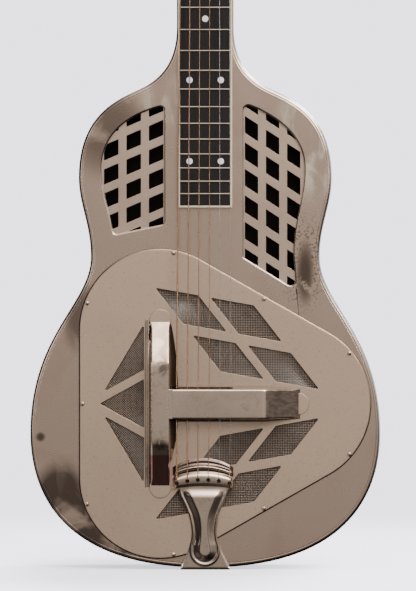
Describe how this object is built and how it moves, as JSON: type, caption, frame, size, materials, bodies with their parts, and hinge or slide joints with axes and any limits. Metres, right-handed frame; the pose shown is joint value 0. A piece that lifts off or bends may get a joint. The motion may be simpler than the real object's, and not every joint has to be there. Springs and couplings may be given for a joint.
{
  "type": "resonator guitar",
  "caption": "Metal-bodied square-neck resonator guitar with spun cones under a screened cover plate, a T-shaped handrest, a stamped tailpiece and geared tuning keys that turn.",
  "frame": {"origin": "centre line of the instrument on the flat underside of the tailpiece's foot, its lowest face", "axes": "+Z along the neck from tail to headstock, -Y out of the front with the strings, +X towards the treble side"},
  "size_m": [0.354, 0.103, 0.9817],
  "materials": {
    "body_metal": "satin nickel-silver sheet, tarnished in soft clouds",
    "cover_metal": "fine bead-blasted nickel-silver sheet",
    "polished_metal": "polished nickel-plated brass, lightly worn",
    "lattice_metal": "stamped nickel-silver lattice, matt",
    "well_metal": "plain soldered sheet",
    "cone_aluminium": "spun aluminium with fine spin rings",
    "cast_aluminium": "sand-cast aluminium",
    "screen_wire": "fine woven wire cloth",
    "screw_metal": "plated domed screws",
    "brass": "machined brass",
    "fret_metal": "nickel-silver fret wire",
    "tuner_metal": "nickel-plated steel",
    "string_metal": "bronze-wound strings; the two thinnest are plain steel",
    "ebony": "oiled black ebony",
    "overlay": "black veneer",
    "mahogany": "lacquered mahogany",
    "maple": "bare maple",
    "spruce": "bare spruce",
    "binding": "aged cream celluloid",
    "pearl": "mother-of-pearl",
    "bone": "polished bone",
    "roller_white": "bone-coloured roller on its steel shaft",
    "button_ivory": "aged ivory celluloid"
  },
  "bodies": {
    "instrument": {"top_plate": "body_metal", "side_bass": "body_metal", "side_treble": "body_metal", "back_plate": "body_metal", "neck_back": "body_metal", "tail_block": "spruce", "neck_block": "maple", "back_braces": "spruce", "well_posts": "maple", "lattice_bass": "lattice_metal", "lattice_treble": "lattice_metal", "sound_well": "well_metal", "cone_upper": "cone_aluminium", "cone_lower": "cone_aluminium", "cone_treble": "cone_aluminium", "t_bridge": "cast_aluminium", "saddle": "maple", "cover_plate": "cover_metal", "cover_screens": "screen_wire", "handrest": "polished_metal", "cover_screws": "screw_metal", "tailpiece": "polished_metal", "tail_screws": "screw_metal", "ball_ends": "brass", "fretboard": "ebony", "fretboard_binding": "binding", "frets": "fret_metal", "position_dots": "pearl", "nut": "bone", "headstock": "mahogany", "headstock_overlay": "overlay", "tuner_plate_bass": "tuner_metal", "tuner_plate_treble": "tuner_metal", "tuner_plate_screws": "screw_metal", "strings": "string_metal"},
    "roller_1_body": {"roller_1": "roller_white", "gear_1": "brass"},
    "key_1_body": {"worm_1": "brass", "button_1": "button_ivory"},
    "roller_2_body": {"roller_2": "roller_white", "gear_2": "brass"},
    "key_2_body": {"worm_2": "brass", "button_2": "button_ivory"},
    "roller_3_body": {"roller_3": "roller_white", "gear_3": "brass"},
    "key_3_body": {"worm_3": "brass", "button_3": "button_ivory"},
    "roller_4_body": {"roller_4": "roller_white", "gear_4": "brass"},
    "key_4_body": {"worm_4": "brass", "button_4": "button_ivory"},
    "roller_5_body": {"roller_5": "roller_white", "gear_5": "brass"},
    "key_5_body": {"worm_5": "brass", "button_5": "button_ivory"},
    "roller_6_body": {"roller_6": "roller_white", "gear_6": "brass"},
    "key_6_body": {"worm_6": "brass", "button_6": "button_ivory"}
  },
  "joints": [
    {"name": "key_1_spin", "type": "hinge", "parent": "instrument", "child": "key_1_body", "pos_m": [-0.03775, -0.02138, 0.85904], "axis": [0, 0.9781, -0.2079], "continuous": true},
    {"name": "roller_1_spin", "type": "hinge", "parent": "instrument", "child": "roller_1_body", "pos_m": [0, -0.02312, 0.85083], "axis": [1, 0, 0], "continuous": true},
    {"name": "key_2_spin", "type": "hinge", "parent": "instrument", "child": "key_2_body", "pos_m": [-0.03775, -0.01348, 0.89621], "axis": [0, 0.9781, -0.2079], "continuous": true},
    {"name": "roller_2_spin", "type": "hinge", "parent": "instrument", "child": "roller_2_body", "pos_m": [0, -0.01522, 0.888], "axis": [1, 0, 0], "continuous": true},
    {"name": "key_3_spin", "type": "hinge", "parent": "instrument", "child": "key_3_body", "pos_m": [-0.03775, -0.00557, 0.93338], "axis": [0, 0.9781, -0.2079], "continuous": true},
    {"name": "roller_3_spin", "type": "hinge", "parent": "instrument", "child": "roller_3_body", "pos_m": [0, -0.00732, 0.92517], "axis": [1, 0, 0], "continuous": true},
    {"name": "key_4_spin", "type": "hinge", "parent": "instrument", "child": "key_4_body", "pos_m": [0.03775, -0.00557, 0.93338], "axis": [0, 0.9781, -0.2079], "continuous": true},
    {"name": "roller_4_spin", "type": "hinge", "parent": "instrument", "child": "roller_4_body", "pos_m": [0, -0.00732, 0.92517], "axis": [1, 0, 0], "continuous": true},
    {"name": "key_5_spin", "type": "hinge", "parent": "instrument", "child": "key_5_body", "pos_m": [0.03775, -0.01348, 0.89621], "axis": [0, 0.9781, -0.2079], "continuous": true},
    {"name": "roller_5_spin", "type": "hinge", "parent": "instrument", "child": "roller_5_body", "pos_m": [0, -0.01522, 0.888], "axis": [1, 0, 0], "continuous": true},
    {"name": "key_6_spin", "type": "hinge", "parent": "instrument", "child": "key_6_body", "pos_m": [0.03775, -0.02138, 0.85904], "axis": [0, 0.9781, -0.2079], "continuous": true},
    {"name": "roller_6_spin", "type": "hinge", "parent": "instrument", "child": "roller_6_body", "pos_m": [0, -0.02312, 0.85083], "axis": [1, 0, 0], "continuous": true}
  ],
  "couplings": [
    {"joint": "roller_1_spin", "follows": "key_1_spin", "ratio": 0.071429},
    {"joint": "roller_2_spin", "follows": "key_2_spin", "ratio": 0.071429},
    {"joint": "roller_3_spin", "follows": "key_3_spin", "ratio": 0.071429},
    {"joint": "roller_4_spin", "follows": "key_4_spin", "ratio": 0.071429},
    {"joint": "roller_5_spin", "follows": "key_5_spin", "ratio": 0.071429},
    {"joint": "roller_6_spin", "follows": "key_6_spin", "ratio": 0.071429}
  ]
}
